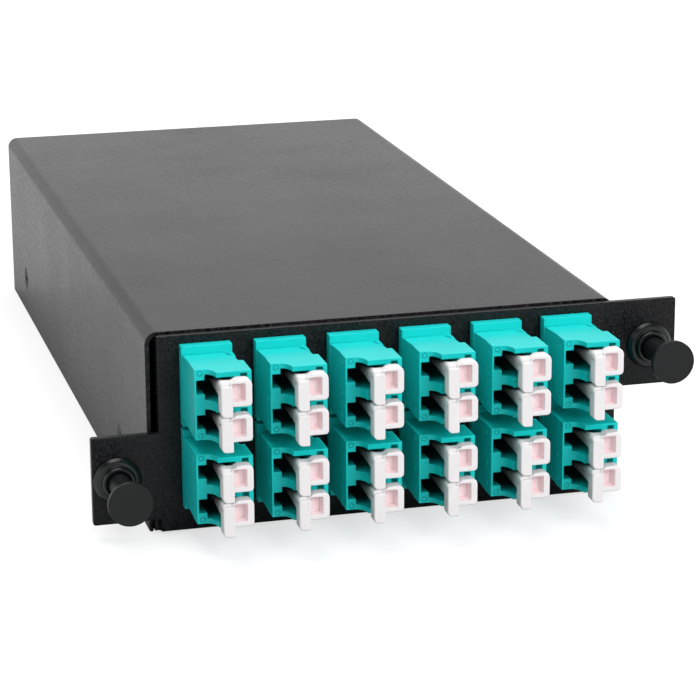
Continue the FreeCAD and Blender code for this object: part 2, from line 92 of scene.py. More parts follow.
class CoatSettings(bpy.types.PropertyGroup):
    """Powder coat on the folded steel."""
    base: bpy.props.FloatVectorProperty(
        name="Coat colour", description="Colour of the powder coat",
        subtype="COLOR", size=3, min=0, max=1, default=(0.0085, 0.0085, 0.0095))
    # Painted light: the same coat as the plate, given a lighter colour on the cover and tray for the light
    # their top and sides catch
    cover: bpy.props.FloatVectorProperty(
        name="Cover colour", description="Colour of the coat on the cover and tray",
        subtype="COLOR", size=3, min=0, max=1, default=(0.0125, 0.0118, 0.0135))
    # Painted glints: a light colour mixed into the coat on the grains that stand proud, for the light they
    # catch; the plate's are dimmer
    glint: bpy.props.FloatVectorProperty(
        name="Fleck colour", description="Colour of the grains that stand proud of the coat",
        subtype="COLOR", size=3, min=0, max=1, default=(0.075, 0.075, 0.08))
    dull_glint: bpy.props.FloatVectorProperty(
        name="Plate's fleck colour", description="Colour of the grains on the front plate",
        subtype="COLOR", size=3, min=0, max=1, default=(0.035, 0.035, 0.038))
    grain: bpy.props.FloatProperty(
        name="Grain size", description="Width of one grain of the cover's texture",
        unit="LENGTH", default=0.0009, min=0.0001, max=0.002)
    fine_grain: bpy.props.FloatProperty(
        name="Plate's grain size", description="Width of one grain of the front plate's texture",
        unit="LENGTH", default=0.0004, min=0.0001, max=0.002)
    edge: bpy.props.FloatProperty(
        name="Sheet edge", description="Rounding of the cut edges under the coat",
        unit="LENGTH", default=0.00016, min=0.00005, max=0.0004)


class AdapterSettings(bpy.types.PropertyGroup):
    """Aqua adapter housings."""
    base: bpy.props.FloatVectorProperty(
        name="Housing colour", description="Colour of the moulded housing",
        subtype="COLOR", size=3, min=0, max=1, default=(0.008, 0.60, 0.58))
    edge: bpy.props.FloatProperty(
        name="Mould edge", description="Rounding left along the housing's edges",
        unit="LENGTH", default=0.0001, min=0.00003, max=0.0003)
    mark: bpy.props.FloatProperty(
        name="Pin mark", description="Radius of the round marks that the mould's pins leave",
        unit="LENGTH", default=0.00043, min=0.0002, max=0.001)


class CapSettings(bpy.types.PropertyGroup):
    """White dust caps."""
    base: bpy.props.FloatVectorProperty(
        name="Cap colour", description="Colour of the soft white plastic",
        subtype="COLOR", size=3, min=0, max=1, default=(0.80, 0.775, 0.785))
    # Painted shade: a pinkish tint for the shaded recess of the translucent plastic
    inner: bpy.props.FloatVectorProperty(
        name="Recess colour", description="Tint that the plastic takes inside the recess",
        subtype="COLOR", size=3, min=0, max=1, default=(0.97, 0.77, 0.79))
    # Painted shade: the neck darkens towards this colour from behind the grip into the port
    neck: bpy.props.FloatVectorProperty(
        name="Neck colour", description="Colour that the neck takes near the port",
        subtype="COLOR", size=3, min=0, max=1, default=(0.20, 0.168, 0.165))
    edge: bpy.props.FloatProperty(
        name="Grip edge", description="Rounding around the grip's face",
        unit="LENGTH", default=0.00028, min=0.00005, max=0.0006)
    recess: bpy.props.FloatProperty(
        name="Recess depth", description="Depth of the square recess in the grip",
        unit="LENGTH", default=0.0016, min=0.0005, max=0.002)


class NylonSettings(bpy.types.PropertyGroup):
    """Black nylon of the plungers and grommets."""
    base: bpy.props.FloatVectorProperty(
        name="Nylon colour", description="Colour of the nylon",
        subtype="COLOR", size=3, min=0, max=1, default=(0.006, 0.0064, 0.007))
    edge: bpy.props.FloatProperty(
        name="Head edge", description="Rounding around the plunger's head",
        unit="LENGTH", default=0.0002, min=0.0001, max=0.0004)


class StageSettings(bpy.types.PropertyGroup):
    """Camera, floor and lamps."""
    azimuth: bpy.props.FloatProperty(
        name="Azimuth", description="Camera's turn around the cassette from straight in front",
        subtype="ANGLE", default=math.radians(-14.729))
    elevation: bpy.props.FloatProperty(
        name="Elevation", description="Camera's height above level",
        subtype="ANGLE", default=math.radians(16.191))
    roll: bpy.props.FloatProperty(
        name="Roll", description="Camera's turn about its own line of sight",
        subtype="ANGLE", default=math.radians(-0.356))
    distance: bpy.props.FloatProperty(
        name="Distance", description="From the camera to the point it looks at",
        unit="LENGTH", default=0.470686)
    aim_x: bpy.props.FloatProperty(
        name="Aim across", description="Place across the plate that the camera looks at",
        unit="LENGTH", default=-0.007405)
    aim_z: bpy.props.FloatProperty(
        name="Aim height", description="Height that the camera looks at",
        unit="LENGTH", default=0.031577)
    lens: bpy.props.FloatProperty(
        name="Lens", description="Focal length on a 36 mm wide sensor, in millimetres",
        default=135.516, min=20, max=400)
    key: bpy.props.FloatProperty(
        name="Key lamp", description="Power of the large lamp in front",
        unit="POWER", default=9.0, min=0)
    top: bpy.props.FloatProperty(
        name="Top lamp", description="Power of the lamp above",
        unit="POWER", default=8.5, min=0)
    sky: bpy.props.FloatProperty(
        name="Sky", description="Strength of the soft light from all round",
        default=0.45, min=0, max=1)
    ceiling: bpy.props.FloatProperty(
        name="Ceiling", description="How bright the studio looks straight up, where 1 is white",
        default=0.12, min=0, max=1)


# ---- shader helpers ----

def add(tree, kind, inputs=None, **settings):
    """Adds a node, sets its properties, and fills or links its inputs."""
    made = tree.nodes.new(kind)
    for name, value in settings.items():
        setattr(made, name, value)
    for name, value in (inputs or {}).items():
        socket = made.inputs[name]
        if isinstance(value, bpy.types.NodeSocket):
            tree.links.new(value, socket)
        else:
            socket.default_value = value
    return made


def link(tree, node, **results):
    """Links sockets to a node's inputs, whose names are given with _ for a space."""
    for name, socket in results.items():
        tree.links.new(socket, node.inputs[name.replace("_", " ")])


def maths(tree, operation, a, b=0.0, clamp=False):
    made = add(tree, "ShaderNodeMath", {0: a, 1: b}, operation=operation, use_clamp=clamp)
    return made.outputs[0]


def times(tree, a, b, clamp=False):
    return maths(tree, "MULTIPLY", a, b, clamp)


def plus(tree, a, b, clamp=False):
    return maths(tree, "ADD", a, b, clamp)


def minus(tree, a, b):
    return maths(tree, "SUBTRACT", a, b)


def ranged(tree, value, from_low, from_high, to_low=0.0, to_high=1.0):
    made = add(tree, "ShaderNodeMapRange",
               {"Value": value, "From Min": from_low, "From Max": from_high,
                "To Min": to_low, "To Max": to_high})
    return made.outputs["Result"]


def mixed(tree, factor, a, b):
    """Blend of two colours; the node keeps its colour sockets at 6 and 7."""
    return add(tree, "ShaderNodeMix", {0: factor, 6: a, 7: b}, data_type="RGBA").outputs[2]


def scaled(tree, vector, factor):
    made = add(tree, "ShaderNodeVectorMath", {0: vector, "Scale": factor}, operation="SCALE")
    return made.outputs[0]


def noise(tree, place, scale, detail=2.0, roughness=0.5):
    made = add(tree, "ShaderNodeTexNoise",
               {"Vector": place, "Scale": scale, "Detail": detail, "Roughness": roughness})
    return made.outputs["Fac"]


def new_tree(name, kind, inputs, outputs):
    """Node group with named sockets of the kinds given, and its two end nodes."""
    tree = bpy.data.node_groups.new(name, kind)
    for way, sockets in (("INPUT", inputs), ("OUTPUT", outputs)):
        for title, holds in sockets.items():
            tree.interface.new_socket(name=title, in_out=way, socket_type="NodeSocket" + holds)
    return tree, tree.nodes.new("NodeGroupInput"), tree.nodes.new("NodeGroupOutput")


def shared(name, maker):
    """The node group of a name, which is made the first time."""
    return bpy.data.node_groups.get(name) or maker(name)


SURFACE = {"Color": "Color", "Roughness": "Float", "Height": "Float"}
BUMP_STRENGTH = 0.6


def coat_group(name):
    """Fine textured powder coat: fused grains over a faint swell, with painted glints where some grains catch
    light.
    """
    tree, given, made = new_tree(name, "ShaderNodeTree", {
        "Base": "Color", "Fleck": "Color", "Grains per metre": "Float",
        "Smoothest": "Float", "Roughest": "Float"}, SURFACE)
    place = add(tree, "ShaderNodeTexCoord").outputs["Object"]
    scale = given.outputs["Grains per metre"]
    fine = noise(tree, place, scale, roughness=0.6)
    swell = noise(tree, place, times(tree, scale, 0.22))
    stain = noise(tree, place, 38.0, 4.0, 0.6)
    grains = add(tree, "ShaderNodeTexVoronoi",
                 {"Vector": place, "Scale": times(tree, scale, 0.7), "Randomness": 1.0})
    # Painted glints: where the fine noise peaks, the colour turns to the glint colour, for grains catching
    # light
    peak = ranged(tree, fine, 0.56, 0.74)
    lone = ranged(tree, grains.outputs["Distance"], 0.34, 0.12)
    share = plus(tree, times(tree, lone, 0.6), 0.35)
    glint = times(tree, peak, share, True)
    tone = times(tree, ranged(tree, stain, 0.3, 0.7, 0.86, 1.14),
                 ranged(tree, fine, 0.3, 0.7, 0.1, 1.9))
    color = mixed(tree, glint, scaled(tree, given.outputs["Base"], tone), given.outputs["Fleck"])
    uneven = plus(tree, times(tree, fine, 0.7), times(tree, stain, 0.3))
    rough = ranged(tree, uneven, 0.3, 0.7, given.outputs["Smoothest"], given.outputs["Roughest"])
    height = plus(tree, times(tree, fine, 0.65), times(tree, swell, 0.35))
    link(tree, made, Color=color, Roughness=rough, Height=height)
    return tree


def plastic_group(name):
    """Moulded plastic: faint spark-eroded grain, slow changes of tone and a few hairline scuffs."""
    tree, given, made = new_tree(name, "ShaderNodeTree", {
        "Base": "Color", "Tone change": "Float", "Roughness": "Float", "Scuff": "Float"}, SURFACE)
    place = add(tree, "ShaderNodeTexCoord").outputs["Object"]
    grain = noise(tree, place, 6000.0)
    flow = noise(tree, place, 210.0, 3.0, 0.6)
    stretched = add(tree, "ShaderNodeMapping", {"Vector": place, "Rotation": (0.3, 0.5, 0.8),
                                                "Scale": (2400.0, 160.0, 900.0)})
    hair = noise(tree, stretched.outputs["Vector"], 1.0, 1.0)
    scuff = times(tree, ranged(tree, hair, 0.68, 0.76), given.outputs["Scuff"])
    change = times(tree, minus(tree, flow, 0.5), given.outputs["Tone change"])
    tone = plus(tree, times(tree, change, 2.0), 1.0)
    grit = times(tree, minus(tree, grain, 0.5), 0.16)
    rough = plus(tree, given.outputs["Roughness"], plus(tree, grit, times(tree, scuff, 0.18)), True)
    height = minus(tree, times(tree, grain, 0.5), times(tree, scuff, 0.4))
    link(tree, made, Color=scaled(tree, given.outputs["Base"], tone), Roughness=rough, Height=height)
    return tree


def opaque(color):
    return (*color, 1.0)


def new_material(name, group, inputs, depth, **shader):
    """Principled material over a surface group, with the group's height as its bump."""
    material = bpy.data.materials.new(name)
    material.use_nodes = True
    tree = material.node_tree
    principled = tree.nodes["Principled BSDF"]
    surface = add(tree, "ShaderNodeGroup", inputs, node_tree=group)
    bump = add(tree, "ShaderNodeBump", {"Height": surface.outputs["Height"], "Distance": depth,
                                        "Strength": BUMP_STRENGTH})
    link(tree, principled, Base_Color=surface.outputs["Color"], Roughness=surface.outputs["Roughness"],
         Normal=bump.outputs["Normal"])
    for title, value in shader.items():
        principled.inputs[title.replace("_", " ")].default_value = value
    return material


def coat_material(name, color, glint, grain, smoothest, roughest, specular):
    given = {"Base": opaque(color), "Fleck": opaque(glint), "Grains per metre": 1 / grain,
             "Smoothest": smoothest, "Roughest": roughest}
    return new_material(name, shared("Powder Coat", coat_group), given, 0.04 * MM,
                        Specular_IOR_Level=specular)


def plastic_material(name, color, roughness, tone=0.06, scuff=0.3, depth=0.008 * MM, **shader):
    given = {"Base": opaque(color), "Roughness": roughness, "Tone change": tone, "Scuff": scuff}
    return new_material(name, shared("Moulded Plastic", plastic_group), given, depth, **shader)


# ---- mesh helpers ----

def store_places(obj):
    """Stores each vertex's place in the template, in millimetres, for the materials."""
    attribute = obj.data.attributes.new("mould_place", "FLOAT_VECTOR", "POINT")
    for vertex, item in zip(obj.data.vertices, attribute.data):
        item.vector = vertex.co / MM


def merged_mesh(nodes):
    """One bmesh of some frame nodes, with their loose triangles joined and flat areas dissolved."""
    bm = bmesh.new()
    for name in nodes:
        bm.from_mesh(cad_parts[name].data)
    bmesh.ops.remove_doubles(bm, verts=bm.verts, dist=2e-6)
    bmesh.ops.dissolve_limit(bm, angle_limit=math.radians(0.6), verts=bm.verts, edges=bm.edges)
    return bm


def soften(bm, width, segments=2, room=3.0):
    """Rounds the sharp edges that are some widths long, and keeps the mesh within its box."""
    ends = [(min(v.co[i] for v in bm.verts), max(v.co[i] for v in bm.verts)) for i in range(3)]
    sharp = []
    for edge in bm.edges:
        if len(edge.link_faces) != 2 or edge.calc_length() < room * width:
            continue
        if edge.calc_face_angle(0) > math.radians(35):
            sharp.append(edge)
    bmesh.ops.bevel(bm, geom=sharp, offset=width, offset_type="OFFSET", segments=segments,
                    profile=0.5, affect="EDGES", clamp_overlap=False)
    for vert in bm.verts:
        vert.co = [min(max(place, start), end) for place, (start, end) in zip(vert.co, ends)]


def object_of(name, bm):
    mesh = bpy.data.meshes.new(name)
    bm.to_mesh(mesh)
    bm.free()
    obj = bpy.data.objects.new(name, mesh)
    bpy.context.scene.collection.objects.link(obj)
    return obj


def taken(obj, bm=None):
    """Moves an object's mesh into a bmesh and removes the object."""
    if bm is None:
        bm = bmesh.new()
    bm.from_mesh(obj.data)
    bpy.data.objects.remove(obj)
    return bm


def softened_copy(obj, width, segments, room, dissolve=True):
    """Softened bmesh of an object, which is removed."""
    bm = taken(obj)
    bmesh.ops.remove_doubles(bm, verts=bm.verts, dist=1e-6)
    if dissolve:
        bmesh.ops.dissolve_limit(bm, angle_limit=math.radians(0.5), verts=bm.verts, edges=bm.edges)
    soften(bm, width, segments, room)
    return bm


def finished(name, bm, material=None, smooth=40.0):
    """A plain mesh object at the origin, with even shading on its flat faces."""
    obj = object_of(name, bm)
    for polygon in obj.data.polygons:
        polygon.use_smooth = True
    obj.data.set_sharp_from_angle(angle=math.radians(smooth))
    weighted = obj.modifiers.new("Even shading", "WEIGHTED_NORMAL")
    weighted.keep_sharp = True
    baked(obj)
    obj.data.materials.clear()
    if material:
        obj.data.materials.append(material)
    return obj


def baked(obj):
    """Turns an object's modifiers into its own mesh."""
    graph = bpy.context.evaluated_depsgraph_get()
    mesh = bpy.data.meshes.new_from_object(obj.evaluated_get(graph), depsgraph=graph)
    obj.modifiers.clear()
    obj.data = mesh
    mesh.name = obj.name
    return obj


def stand_in(obj, nodes, body=ROOT):
    """Puts an object in the place of some frame nodes."""
    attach(obj, body)
    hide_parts(*nodes)


def dressed(name, nodes, material, width, body=ROOT, smooth=40.0):
    """Stands a softened copy of some frame nodes in their place."""
    bm = merged_mesh(nodes)
    soften(bm, width)
    stand_in(finished(name, bm, material, smooth), nodes, body)


def ring_points(corners, arc_steps=6):
    """Points round an outline of (u, v, radius) corners."""
    points = []
    count = len(corners)
    for i, (u, v, radius) in enumerate(corners):
        here = Vector((u, v))
        if not radius:
            points.append(here)
            continue
        back = (Vector(corners[i - 1][:2]) - here).normalized()
        ahead = (Vector(corners[(i + 1) % count][:2]) - here).normalized()
        half = back.angle(ahead) / 2
        centre = here + (back + ahead).normalized() * (radius / math.sin(half))
        start = here + back * (radius / math.tan(half)) - centre
        turn = math.pi - 2 * half
        side = -1 if back.cross(ahead) > 0 else 1
        for step in range(arc_steps + 1):
            angle = side * turn * step / arc_steps
            points.append(centre + Matrix.Rotation(angle, 2) @ start)
    return points


def block_points(x0, x1, z0, z1, radius=0.0):
    return ring_points([(x0, z0, radius), (x1, z0, radius), (x1, z1, radius), (x0, z1, radius)])


def prism(bm, outline, front, back):
    """Closed prism along y, from (x, z) points."""
    ends = [[bm.verts.new((p.x, y, p.y)) for p in outline] for y in (front, back)]
    faces = [bm.faces.new(ends[0]), bm.faces.new(ends[1][::-1])]
    count = len(outline)
    for i in range(count):
        j = (i + 1) % count
        faces.append(bm.faces.new((ends[0][j], ends[0][i], ends[1][i], ends[1][j])))
    bmesh.ops.recalc_face_normals(bm, faces=faces)


def loft(bm, rings, hollow=False):
    """Closed solid through rings of points; a hollow one returns to its first ring."""
    loops = [[bm.verts.new(point) for point in ring] for ring in rings]
    if hollow:
        faces = []
        loops.append(loops[0])
    else:
        faces = [bm.faces.new(loops[0][::-1]), bm.faces.new(loops[-1])]
    count = len(loops[0])
    for near, far in zip(loops, loops[1:]):
        for i in range(count):
            j = (i + 1) % count
            faces.append(bm.faces.new((near[i], near[j], far[j], far[i])))
    bmesh.ops.recalc_face_normals(bm, faces=faces)


def lathe(bm, profile, axis, steps=64, along="y", hollow=False):
    """Closed solid of revolution from (radius, place) points about a line along x or y."""
    rings = []
    for radius, place in profile:
        ring = []
        for i in range(steps):
            turn = 2 * math.pi * i / steps
            u, v = axis[0] + radius * math.cos(turn), axis[1] + radius * math.sin(turn)
            ring.append((u, place, v) if along == "y" else (place, u, v))
        rings.append(ring)
    loft(bm, rings, hollow)


def rounded(profile, radius, steps=4):
    """Rounds every inner corner of a (radius, place) profile that is long enough on both sides."""
    points = [Vector(p) for p in profile]
    made = [points[0]]
    for before, here, after in zip(points, points[1:], points[2:]):
        room = 0.45 * min((before - here).length, (after - here).length)
        back, ahead = (before - here).normalized(), (after - here).normalized()
        reach = min(radius, room)
        start, end = here + back * reach, here + ahead * reach
        for step in range(steps + 1):
            t = step / steps
            made.append((1 - t) ** 2 * start + 2 * t * (1 - t) * here + t * t * end)
    return made + [points[-1]]


def box_object(name, first, last):
    """Block from two opposite corners."""
    (x0, y0, z0), (x1, y1, z1) = first, last
    bm = bmesh.new()
    prism(bm, block_points(x0, x1, z0, z1), y0, y1)
    return object_of(name, bm)


def carved(base, cutters):
    """Applies boolean cuts and removes the tools."""
    for tool in cutters:
        modifier = base.modifiers.new("Carve", "BOOLEAN")
        modifier.operation = "DIFFERENCE"
        modifier.solver = "EXACT"
        modifier.object = tool
    baked(base)
    for tool in cutters:
        bpy.data.objects.remove(tool)
    return base


# ---- geometry node trees ----

GROWN = {"Geometry": "Geometry"}


def end_tree(tree, made, geometry, material):
    real = add(tree, "GeometryNodeRealizeInstances", {"Geometry": geometry})
    painted = add(tree, "GeometryNodeSetMaterial",
                  {"Geometry": real.outputs["Geometry"], "Material": material})
    link(tree, made, Geometry=painted.outputs["Geometry"])


def grid_tree():
    """Copies of a template at every crossing of columns and rows."""
    tree, given, made = new_tree("Rows Of Housings", "GeometryNodeTree", {
        "Template": "Object", "Material": "Material", "Columns": "Int", "Rows": "Int",
        "First": "Vector", "Column Pitch": "Float", "Row Pitch": "Float"}, GROWN)
    template = add(tree, "GeometryNodeObjectInfo", {"Object": given.outputs["Template"]})
    across = add(tree, "ShaderNodeCombineXYZ", {"X": given.outputs["Column Pitch"]})
    upward = add(tree, "ShaderNodeCombineXYZ", {"Z": given.outputs["Row Pitch"]})
    columns = add(tree, "GeometryNodeMeshLine", {"Count": given.outputs["Columns"],
                                                 "Start Location": given.outputs["First"],
                                                 "Offset": across.outputs[0]})
    rows = add(tree, "GeometryNodeMeshLine", {"Count": given.outputs["Rows"], "Offset": upward.outputs[0]})
    line = add(tree, "GeometryNodeInstanceOnPoints",
               {"Points": columns.outputs["Mesh"], "Instance": template.outputs["Geometry"]})
    block = add(tree, "GeometryNodeInstanceOnPoints",
                {"Points": rows.outputs["Mesh"], "Instance": line.outputs["Instances"]})
    end_tree(tree, made, block.outputs["Instances"], given.outputs["Material"])
    return tree


def seat_tree():
    """One copy of a template at a place."""
    tree, given, made = new_tree("Seated Copy", "GeometryNodeTree", {
        "Template": "Object", "Material": "Material", "Place": "Vector"}, GROWN)
    template = add(tree, "GeometryNodeObjectInfo", {"Object": given.outputs["Template"]})
    moved = add(tree, "GeometryNodeTransform", {"Geometry": template.outputs["Geometry"],
                                                "Translation": given.outputs["Place"]})
    end_tree(tree, made, moved.outputs["Geometry"], given.outputs["Material"])
    return tree


def grown(name, tree, values):
    """Plain mesh that a tree gives for some named inputs."""
    host = bpy.data.objects.new(name, bpy.data.meshes.new(name))
    bpy.context.scene.collection.objects.link(host)
    modifier = host.modifiers.new("Grow", "NODES")
    modifier.node_group = tree
    sockets = {item.name: item.identifier for item in tree.interface.items_tree if item.in_out == "INPUT"}
    for title, value in values.items():
        modifier[sockets[title]] = value
    host.update_tag()
    bpy.context.view_layer.update()
    return baked(host)


# ---- the pieces ----

def settings_of(name):
    return getattr(bpy.context.scene, "cassette_" + name)


def screw_places():
    """Wall, inward direction, and the y and z of each cover screw's axis."""
    first, last = low("cover_screws"), high("cover_screws")
    half = (last.z - first.z) / 2
    for wall, inward in ((low("cover").x, 1), (high("cover").x, -1)):
        for y in (first.y + half, last.y - half):
            yield wall, inward, y, first.z + half


def screw_cone(wall, inward, y, z, profile):
    """Turned solid from (radius, depth) points in millimetres, with its depth into a side wall."""
    bm = bmesh.new()
    lathe(bm, [(r * MM, wall + inward * depth * MM) for r, depth in profile], (y, z), 48, "x")
    return bm


def cover_sheet(edge):
    """Top and two sides folded from one sheet, with a countersunk hole for each screw."""
    first, last = low("cover"), high("cover")
    bend = BEND - SHEET
    outer = [(first.x, first.z, 0), (first.x, last.z, BEND), (last.x, last.z, BEND), (last.x, first.z, 0)]
    inner = [(last.x - SHEET, first.z, 0), (last.x - SHEET, last.z - SHEET, bend),
             (first.x + SHEET, last.z - SHEET, bend), (first.x + SHEET, first.z, 0)]
    bm = bmesh.new()
    prism(bm, ring_points(outer + inner, 12), first.y, last.y)
    blank = object_of("cover_blank", bm)
    holes = [object_of("screw_hole", screw_cone(*place, COUNTERSINK)) for place in screw_places()]
    return softened_copy(carved(blank, holes), 1.9 * edge, segments=3, room=2.0)


def plate_sheet(edge):
    """Z-shaped plate with square ear corners, a window for each housing and a hole for each grommet."""
    first, last = low("front_plate"), high("front_plate")
    left, right = low("cover").x + PLATE_INSET, high("cover").x
    left_foot, right_foot = first.z + EAR_RISE, last.z - EAR_HEIGHT
    left_head = left_foot + EAR_HEIGHT
    outline = [(left, first.z, 0), (right, first.z, 0), (right, right_foot, 0),
               (last.x, right_foot, EAR_CORNER), (last.x, last.z, EAR_CORNER), (left, last.z, 0),
               (left, left_head, 0), (first.x, left_head, EAR_CORNER), (first.x, left_foot, EAR_CORNER),
               (left, left_foot, 0)]
    bm = bmesh.new()
    prism(bm, ring_points(outline, 3), first.y, last.y)
    blank = object_of("plate_blank", bm)
    cuts = []
    for name in ADAPTERS:
        start, middle = low(name), (low(name).z + high(name).z) / 2
        cuts.append(box_object("window", (start.x + WINDOW[0], first.y - MM, middle - WINDOW[2]),
                               (start.x + WINDOW[1], last.y + MM, middle + WINDOW[2])))
    for side in SIDES:
        bm = bmesh.new()
        through = [(EAR_HOLE_R, first.y - MM), (EAR_HOLE_R, last.y + MM)]
        lathe(bm, through, axis_of(f"grommet_{side}")[0], 48)
        cuts.append(object_of("ear_hole", bm))
    return softened_copy(carved(blank, cuts), 1.3 * edge, segments=3, room=0.7, dissolve=False)


class CASSETTE_OT_steelwork(bpy.types.Operator):
    """Dress the cover, tray and front plate in textured powder coat"""
    bl_idname = "cassette.steelwork"
    bl_label = "Steelwork"

    def execute(self, context):
        values = settings_of("coat")
        sheet = coat_material("Textured powder coat", values.cover, values.glint, values.grain,
                              smoothest=0.19, roughest=0.36, specular=0.15)
        plate = coat_material("Flat powder coat", values.base, values.dull_glint, values.fine_grain,
                              smoothest=0.24, roughest=0.4, specular=0.2)
        for name, node, bm, material in (("cover_sheet", "cover", cover_sheet(values.edge), sheet),
                                         ("front_sheet", "front_plate", plate_sheet(values.edge), plate)):
            stand_in(finished(name, bm, material, smooth=25.0), [node])
        dressed("base_sheet", ["base_tray"], sheet, values.edge, smooth=25.0)
        return {"FINISHED"}


# Housing, in millimetres about its left face, the plate and its middle height: two opposite corners of each
# small cut, the slanted slit's half sizes, lean in degrees and centre, the housing's front, the walls of a
# port, and a pin mark's x and height
SIDE_NOTCHES = [((-1, -11.3, z - 0.45), (0.22, -10.6, z + 0.45)) for z in (5.2, -0.4, -4.6)]
SIDE_STEP = ((-1, -9.7, -9), (0.1, -2.3, 9))
SLIT = {"wide": 0.32, "long": 1.3, "deep": 0.6, "corner": 0.2, "lean": 16, "centre": (8.0, -3.9, 6.2)}
HOUSING_FACE = -13.0
PORT = {"left": 0.3, "right": 6.46, "top": 5.46, "web": 0.8}
PIN_MARK = (0.95, 5.6)


def housing_template(values):
    """Softened copy of one housing about its own left face, and the place that face was taken from."""
    origin = Vector((FIRST_ADAPTER.x, PLATE_FACE, FIRST_ADAPTER.z + ADAPTER_HALF))
    bm = merged_mesh(["adapter_1b"])
    bmesh.ops.translate(bm, verts=bm.verts, vec=-origin)
    blank = object_of("housing_blank", bm)
    cuts = [box_object("housing_cut", Vector(first) * MM, Vector(last) * MM)
            for first, last in SIDE_NOTCHES + [SIDE_STEP]]
    slit = bmesh.new()
    outline = block_points(-SLIT["wide"], SLIT["wide"], -SLIT["long"], SLIT["long"], SLIT["corner"])
    prism(slit, outline, -SLIT["deep"], SLIT["deep"])
    turn = Matrix.Rotation(math.radians(90), 4, "X")
    lean = Matrix.Rotation(math.radians(SLIT["lean"]), 4, "Z")
    bmesh.ops.transform(slit, matrix=lean @ turn, verts=slit.verts)
    bmesh.ops.translate(slit, verts=slit.verts, vec=SLIT["centre"])
    bmesh.ops.scale(slit, vec=(MM, MM, MM), verts=slit.verts)
    cuts.append(object_of("housing_cut", slit))
    bm = softened_copy(carved(blank, cuts), values.edge, segments=2, room=2.5)
    obj = finished("housing_template", bm)
    store_places(obj)
    return obj, origin


def mould_place(tree):
    """The place in millimetres that the template stored: its x, y and z, then the vector itself."""
    place = add(tree, "ShaderNodeAttribute", attribute_name="mould_place").outputs["Vector"]
    parts = add(tree, "ShaderNodeSeparateXYZ", {"Vector": place})
    return *(parts.outputs[axis] for axis in "XYZ"), place


def all_of(tree, value, limits):
    """A mask times one ramp from 0 to 1 for each (value, start, end)."""
    for level, start, end in limits:
        value = times(tree, value, ranged(tree, level, start, end))
    return value


def marks_and_port_shade_group(name):
    """Rings that the mould leaves, and a mask of how deep inside a port a place is, for the port's painted
    shade, in the housing's millimetres.
    """
    tree, given, made = new_tree(name, "ShaderNodeTree", {"Radius": "Float"},
                                 {"Ring": "Float", "Inside": "Float"})
    x, y, z = mould_place(tree)[:3]
    height = maths(tree, "ABSOLUTE", z)
    across, up = minus(tree, x, PIN_MARK[0]), minus(tree, height, PIN_MARK[1])
    squares = plus(tree, times(tree, across, across), times(tree, up, up))
    away = minus(tree, maths(tree, "SQRT", squares), given.outputs["Radius"])
    ring = maths(tree, "ABSOLUTE", away)
    on_face = ranged(tree, y, HOUSING_FACE, HOUSING_FACE - 0.12)
    shown = times(tree, ranged(tree, ring, 0.13, 0.03), on_face)
    walls = ((x, PORT["left"], 1), (x, PORT["right"], -1),
             (height, PORT["top"], -1), (height, PORT["web"], 1))
    port = all_of(tree, 1.0, [(level, wall, wall + inward * 0.04) for level, wall, inward in walls])
    # Painted shade: a port's walls darken over the first few millimetres behind the face
    depth = ranged(tree, y, HOUSING_FACE - 0.3, HOUSING_FACE + 2.8)
    link(tree, made, Ring=shown, Inside=times(tree, port, depth))
    return tree


def housing_material(values):
    material = plastic_material("Aqua housing", values.base, 0.38, tone=0.08, scuff=0.25,
                                Specular_IOR_Level=0.22)
    tree = material.node_tree
    principled = tree.nodes["Principled BSDF"]
    marks = add(tree, "ShaderNodeGroup", {"Radius": values.mark / MM},
                node_tree=shared("Mould Marks", marks_and_port_shade_group))
    ring = marks.outputs["Ring"]
    color = principled.inputs["Base Color"].links[0].from_socket
    dark = opaque(0.4 * part for part in values.base)
    # Painted shade: the colour that a port's walls darken to with depth
    deep = opaque(0.14 * part for part in values.base)
    marked = mixed(tree, times(tree, ring, 0.6), color, dark)
    first = principled.inputs["Normal"].links[0].from_socket
    second = add(tree, "ShaderNodeBump", {"Height": minus(tree, 1.0, ring),
                                          "Distance": 0.08 * MM, "Normal": first})
    link(tree, principled, Base_Color=mixed(tree, marks.outputs["Inside"], marked, deep),
         Normal=second.outputs["Normal"])
    return material


class CASSETTE_OT_housings(bpy.types.Operator):
    """Stand the rows of aqua adapter housings in the plate"""
    bl_idname = "cassette.housings"
    bl_label = "Adapter housings"

    def execute(self, context):
        values = settings_of("adapter")
        template, origin = housing_template(values)
        columns = len({round(low(name).x, 5) for name in ADAPTERS})
        rows = grown("adapter_housings", grid_tree(), {
            "Template": template, "Material": housing_material(values),
            "Columns": columns, "Rows": len(ADAPTERS) // columns, "First": origin,
            "Column Pitch": COLUMN_PITCH, "Row Pitch": ROW_PITCH})
        bpy.data.objects.remove(template)
        stand_in(rows, ADAPTERS)
        return {"FINISHED"}


# Dust cap, in millimetres about the axis of its port. The bar stands proud of the grip's face, the shoulder
# behind it. Each piece of the grip has its left, right, lower and upper edge, and the radii of its corners
# from the lower left one round
CAP = {"face": -20.6, "back": -18.5, "proud": 0.2, "behind": 0.2, "half": 1.05, "tail": -3.5}
SHARP = 0.02
BAR = (-CAP["half"], CAP["half"], CAP["tail"], 2.05, (0.9, 0.25, 0.3, 0.7))
FRAME = (0.5, 4.45, -1.7, 3.1, (SHARP, 0.7, 1.1, SHARP))
SHOULDER = (-CAP["half"], 1.04, 1.2, 2.65, (SHARP, SHARP, 0.05, 0.6))
NOTCH = ((-2, 2.63), (1.08, 2.63), (1.5, 2.94), (2.1, 3.11), (2.1, 4), (-2, 4))
MOUTH = (0.95, 3.24, -0.8, 2.4, (0.15, 0.3, 0.3, 0.15))
FLOOR = (0.95, 2.9, -0.6, 2.36, (0.15, 0.2, 0.2, 0.15))


